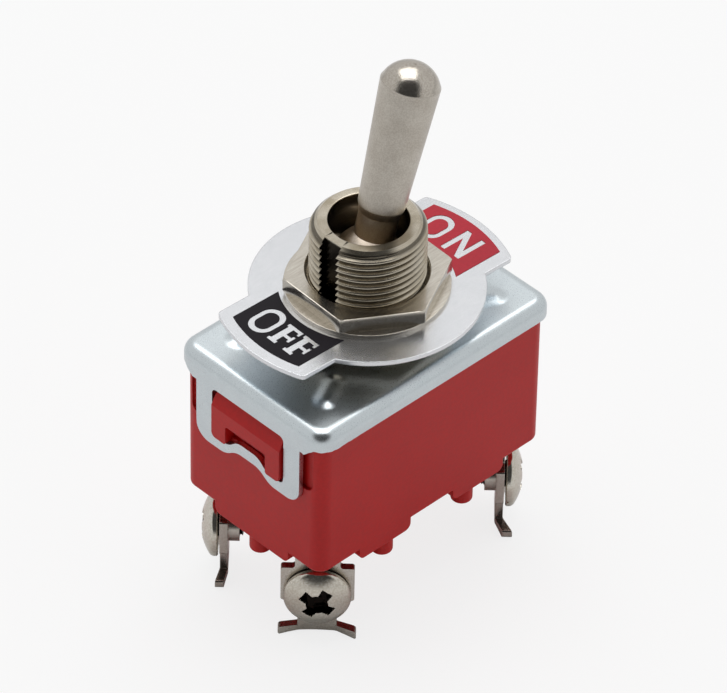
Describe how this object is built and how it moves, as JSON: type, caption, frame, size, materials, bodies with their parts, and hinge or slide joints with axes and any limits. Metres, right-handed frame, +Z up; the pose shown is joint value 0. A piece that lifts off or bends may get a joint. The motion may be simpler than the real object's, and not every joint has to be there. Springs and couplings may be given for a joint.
{
  "type": "toggle switch",
  "caption": "Two-pole on/off toggle switch with a bat-handle lever, threaded panel bushing, ON and OFF label plate and screw terminals.",
  "frame": {"origin": "Centre of the base, on the surface that the terminals' tails stand on, under the bushing's axis.", "axes": "+Z up along the bushing's axis, +X along the body's length towards the ON mark, +Y across the body."},
  "size_m": [0.0336, 0.024, 0.0593],
  "materials": {
    "zinc_cover": "clear zinc plate on pressed steel, satin",
    "red_moulding": "dull red moulded phenolic, slightly mottled",
    "nickel_bushing": "nickel-plated brass, turned",
    "nickel_hardware": "nickel plate, satin",
    "label_aluminium": "plain stamped aluminium, satin",
    "black_print": "printed dark enamel",
    "red_print": "printed red enamel",
    "nickel_lever": "nickel plate, smooth turned",
    "steel_pin": "plain steel",
    "inner_moulding": "natural moulded nylon",
    "spring_steel": "spring steel wire",
    "plated_copper": "plated copper strip",
    "silver_contact": "silver contact",
    "terminal_plating": "tin-plated brass, sheared edges",
    "screw_plating": "nickel-plated steel"
  },
  "bodies": {
    "base": {"cover_shell": "zinc_cover", "housing": "red_moulding", "bushing": "nickel_bushing", "back_nut": "nickel_hardware", "lock_washer": "nickel_hardware", "label_plate": "label_aluminium", "off_print": "black_print", "on_print": "red_print", "face_washer": "nickel_hardware", "face_nut": "nickel_hardware", "pivot_pin": "steel_pin", "pin_retainer": "steel_pin", "contact_terminal_front": "terminal_plating", "contact_terminal_rear": "terminal_plating", "common_terminal_front": "terminal_plating", "common_terminal_rear": "terminal_plating", "fixed_contact_front": "silver_contact", "fixed_contact_rear": "silver_contact", "contact_screw_front": "screw_plating", "contact_screw_rear": "screw_plating", "common_screw_front": "screw_plating", "common_screw_rear": "screw_plating"},
    "lever": {"lever": "nickel_lever", "carrier": "inner_moulding", "plunger_spring_front": "spring_steel", "plunger_spring_rear": "spring_steel"},
    "plunger_front": {"plunger_front": "inner_moulding"},
    "plunger_rear": {"plunger_rear": "inner_moulding"},
    "rocker_front": {"rocker_front": "plated_copper", "rocker_contact_front": "silver_contact"},
    "rocker_rear": {"rocker_rear": "plated_copper", "rocker_contact_rear": "silver_contact"}
  },
  "joints": [
    {"name": "lever_tilt", "type": "hinge", "parent": "base", "child": "lever", "pos_m": [0, 0, 0.0373], "axis": [0, -1, 0], "range_deg": [0, 30.8]},
    {"name": "rocker_front_tilt", "type": "hinge", "parent": "base", "child": "rocker_front", "pos_m": [0, -0.0046, 0.0164], "axis": [0, 1, 0], "range_deg": [0, 16]},
    {"name": "rocker_rear_tilt", "type": "hinge", "parent": "base", "child": "rocker_rear", "pos_m": [0, 0.0046, 0.0164], "axis": [0, 1, 0], "range_deg": [0, 16]},
    {"name": "plunger_front_slide", "type": "slide", "parent": "lever", "child": "plunger_front", "axis": [0.2656, 0, 0.9641], "range_m": [0, 0.0008], "stiffness_N_per_m": 800, "springref_m": -0.001, "deforming": ["plunger_spring_front"]},
    {"name": "plunger_rear_slide", "type": "slide", "parent": "lever", "child": "plunger_rear", "axis": [0.2656, 0, 0.9641], "range_m": [0, 0.0008], "stiffness_N_per_m": 800, "springref_m": -0.001, "deforming": ["plunger_spring_rear"]}
  ],
  "couplings": [
    {"joint": "rocker_front_tilt", "follows": "lever_tilt", "ratio": 0.51948},
    {"joint": "rocker_rear_tilt", "follows": "lever_tilt", "ratio": 0.51948}
  ]
}
